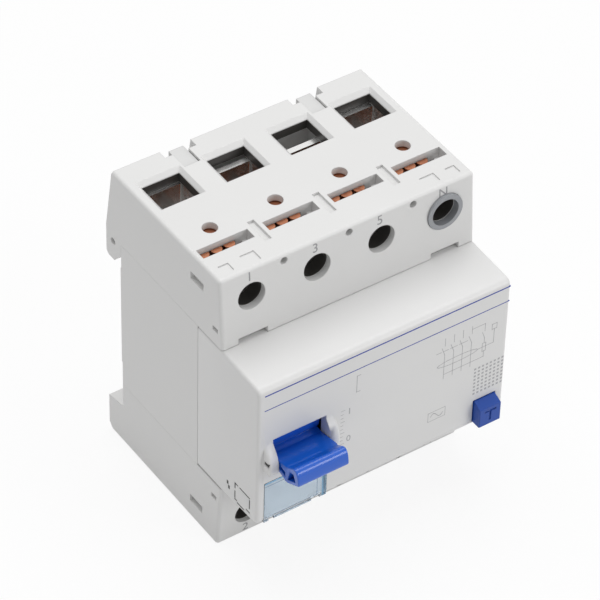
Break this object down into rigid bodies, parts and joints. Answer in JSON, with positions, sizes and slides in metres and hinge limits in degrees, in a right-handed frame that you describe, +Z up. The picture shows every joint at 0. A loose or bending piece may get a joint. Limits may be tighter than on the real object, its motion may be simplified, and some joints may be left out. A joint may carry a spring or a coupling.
{
  "type": "residual current device",
  "caption": "Modular rail-mounted residual current device: stepped grey housing with screw terminals above and below, blue toggle lever, test button and label window.",
  "frame": {"origin": "centre of the flat seat that rests on the mounting rail", "axes": "+Y back into the rail, -Y out to the front, +Z up to the line terminals, +X right seen from the front"},
  "size_m": [0.071, 0.0754, 0.085],
  "materials": {
    "housing": "fine moulded",
    "cap": "fine moulded",
    "lever_blue": "satin",
    "button_blue": "satin",
    "clear_blue": "clear",
    "card": "paper",
    "copper": "bare copper",
    "silver": "contact silver",
    "clamp_steel": "zinc plated",
    "steel": "bright",
    "blackened": "blackened",
    "screw_steel": "plated",
    "shaft_plastic": "moulded",
    "collar": "translucent",
    "coil_case": "moulded",
    "core": "wound tape",
    "board": "laminate",
    "relay": "moulded",
    "resistor": "lacquered",
    "clip": "moulded"
  },
  "bodies": {
    "housing": {"base_housing": "housing", "line_terminal_block": "housing", "load_terminal_block": "housing", "front_cap": "cap", "label_card": "card", "lever_pivot_pin": "steel", "mechanism_frame": "blackened", "line_terminal_bars": "copper", "load_terminal_bars": "copper", "fixed_contact_tips": "silver", "neutral_collar": "collar", "transformer_case": "coil_case", "transformer_core": "core", "transformer_lid": "coil_case", "load_conductors": "copper", "circuit_board": "board", "trip_relay_case": "relay", "latch_stud": "steel", "test_resistor": "resistor", "test_button_spring": "steel", "test_contact": "copper"},
    "lever": {"toggle_lever": "lever_blue"},
    "link": {"drive_link": "steel"},
    "contact_bridge": {"contact_shaft": "shaft_plastic", "moving_contact_arms": "copper", "moving_contact_tips": "silver"},
    "plunger": {"trip_relay_plunger": "steel"},
    "latch": {"latch_lever": "shaft_plastic"},
    "button": {"test_button": "button_blue"},
    "window": {"label_window": "clear_blue"},
    "cage_line_1": {"line_cage_1": "clamp_steel"},
    "screw_line_1": {"line_screw_1": "screw_steel"},
    "cage_load_2": {"load_cage_2": "clamp_steel"},
    "screw_load_2": {"load_screw_2": "screw_steel"},
    "cage_line_3": {"line_cage_3": "clamp_steel"},
    "screw_line_3": {"line_screw_3": "screw_steel"},
    "cage_load_4": {"load_cage_4": "clamp_steel"},
    "screw_load_4": {"load_screw_4": "screw_steel"},
    "cage_line_5": {"line_cage_5": "clamp_steel"},
    "screw_line_5": {"line_screw_5": "screw_steel"},
    "cage_load_6": {"load_cage_6": "clamp_steel"},
    "screw_load_6": {"load_screw_6": "screw_steel"},
    "cage_line_n": {"line_cage_n": "clamp_steel"},
    "screw_line_n": {"line_screw_n": "screw_steel"},
    "cage_load_n": {"load_cage_n": "clamp_steel"},
    "screw_load_n": {"load_screw_n": "screw_steel"},
    "clip_top_left": {"rail_clip_top_left": "clip"},
    "clip_top_right": {"rail_clip_top_right": "clip"},
    "clip_bottom_left": {"rail_clip_bottom_left": "clip"},
    "clip_bottom_right": {"rail_clip_bottom_right": "clip"}
  },
  "joints": [
    {"name": "lever_toggle", "type": "hinge", "parent": "housing", "child": "lever", "pos_m": [-0.024, -0.0518, 0.0016], "axis": [-1, 0, 0], "range_deg": [0, 36]},
    {"name": "link_swing", "type": "hinge", "parent": "lever", "child": "link", "pos_m": [-0.02, -0.0476, 0.0038], "axis": [1, 0, 0], "range_deg": [0, 22.3]},
    {"name": "contact_shaft_turn", "type": "hinge", "parent": "housing", "child": "contact_bridge", "pos_m": [0, -0.008, 0.005], "axis": [1, 0, 0], "range_deg": [0, 22]},
    {"name": "plunger_slide", "type": "slide", "parent": "housing", "child": "plunger", "axis": [-1, 0, 0], "range_m": [0, 0.002]},
    {"name": "latch_swing", "type": "hinge", "parent": "housing", "child": "latch", "pos_m": [0.0091, -0.043, -0.008], "axis": [0, -1, 0], "range_deg": [0, 9.5]},
    {"name": "test_press", "type": "slide", "parent": "housing", "child": "button", "axis": [0, 1, 0], "range_m": [0, 0.002], "stiffness_N_per_m": 300, "deforming": ["test_button_spring"]},
    {"name": "window_slide", "type": "slide", "parent": "housing", "child": "window", "axis": [0, 0, -1], "range_m": [0, 0.01]},
    {"name": "screw_turn_line_1", "type": "hinge", "parent": "housing", "child": "screw_line_1", "pos_m": [-0.027, -0.035, 0.0348], "axis": [0, 1, 0], "range_deg": [-181, 2917]},
    {"name": "cage_slide_line_1", "type": "slide", "parent": "housing", "child": "cage_line_1", "axis": [0, -1, 0], "range_m": [-0.0005, 0.0081]},
    {"name": "screw_turn_load_2", "type": "hinge", "parent": "housing", "child": "screw_load_2", "pos_m": [-0.027, -0.035, -0.0348], "axis": [0, 1, 0], "range_deg": [-217, 2881]},
    {"name": "cage_slide_load_2", "type": "slide", "parent": "housing", "child": "cage_load_2", "axis": [0, -1, 0], "range_m": [-0.0006, 0.008]},
    {"name": "screw_turn_line_3", "type": "hinge", "parent": "housing", "child": "screw_line_3", "pos_m": [-0.009, -0.035, 0.0348], "axis": [0, 1, 0], "range_deg": [-865, 2233]},
    {"name": "cage_slide_line_3", "type": "slide", "parent": "housing", "child": "cage_line_3", "axis": [0, -1, 0], "range_m": [-0.0024, 0.0062]},
    {"name": "screw_turn_load_4", "type": "hinge", "parent": "housing", "child": "screw_load_4", "pos_m": [-0.009, -0.035, -0.0348], "axis": [0, 1, 0], "range_deg": [-217, 2881]},
    {"name": "cage_slide_load_4", "type": "slide", "parent": "housing", "child": "cage_load_4", "axis": [0, -1, 0], "range_m": [-0.0006, 0.008]},
    {"name": "screw_turn_line_5", "type": "hinge", "parent": "housing", "child": "screw_line_5", "pos_m": [0.009, -0.035, 0.0348], "axis": [0, 1, 0], "range_deg": [-1945, 1153]},
    {"name": "cage_slide_line_5", "type": "slide", "parent": "housing", "child": "cage_line_5", "axis": [0, -1, 0], "range_m": [-0.0054, 0.0032]},
    {"name": "screw_turn_load_6", "type": "hinge", "parent": "housing", "child": "screw_load_6", "pos_m": [0.009, -0.035, -0.0348], "axis": [0, 1, 0], "range_deg": [-217, 2881]},
    {"name": "cage_slide_load_6", "type": "slide", "parent": "housing", "child": "cage_load_6", "axis": [0, -1, 0], "range_m": [-0.0006, 0.008]},
    {"name": "screw_turn_line_n", "type": "hinge", "parent": "housing", "child": "screw_line_n", "pos_m": [0.027, -0.035, 0.0348], "axis": [0, 1, 0], "range_deg": [-469, 2629]},
    {"name": "cage_slide_line_n", "type": "slide", "parent": "housing", "child": "cage_line_n", "axis": [0, -1, 0], "range_m": [-0.0013, 0.0073]},
    {"name": "screw_turn_load_n", "type": "hinge", "parent": "housing", "child": "screw_load_n", "pos_m": [0.027, -0.035, -0.0348], "axis": [0, 1, 0], "range_deg": [-217, 2881]},
    {"name": "cage_slide_load_n", "type": "slide", "parent": "housing", "child": "cage_load_n", "axis": [0, -1, 0], "range_m": [-0.0006, 0.008]},
    {"name": "clip_slide_top_left", "type": "slide", "parent": "housing", "child": "clip_top_left", "axis": [0, 0, 1], "range_m": [0, 0.003]},
    {"name": "clip_slide_top_right", "type": "slide", "parent": "housing", "child": "clip_top_right", "axis": [0, 0, 1], "range_m": [0, 0.003]},
    {"name": "clip_slide_bottom_left", "type": "slide", "parent": "housing", "child": "clip_bottom_left", "axis": [0, 0, -1], "range_m": [0, 0.003]},
    {"name": "clip_slide_bottom_right", "type": "slide", "parent": "housing", "child": "clip_bottom_right", "axis": [0, 0, -1], "range_m": [0, 0.003]}
  ],
  "couplings": [
    {"joint": "link_swing", "follows": "lever_toggle", "ratio": 0.618},
    {"joint": "contact_shaft_turn", "follows": "lever_toggle", "ratio": 0.61111},
    {"joint": "latch_swing", "follows": "plunger_slide", "rad_per_m": 82.9},
    {"joint": "screw_turn_line_1", "follows": "cage_slide_line_1", "rad_per_m": 6283.2},
    {"joint": "screw_turn_load_2", "follows": "cage_slide_load_2", "rad_per_m": 6283.2},
    {"joint": "screw_turn_line_3", "follows": "cage_slide_line_3", "rad_per_m": 6283.2},
    {"joint": "screw_turn_load_4", "follows": "cage_slide_load_4", "rad_per_m": 6283.2},
    {"joint": "screw_turn_line_5", "follows": "cage_slide_line_5", "rad_per_m": 6283.2},
    {"joint": "screw_turn_load_6", "follows": "cage_slide_load_6", "rad_per_m": 6283.2},
    {"joint": "screw_turn_line_n", "follows": "cage_slide_line_n", "rad_per_m": 6283.2},
    {"joint": "screw_turn_load_n", "follows": "cage_slide_load_n", "rad_per_m": 6283.2}
  ]
}
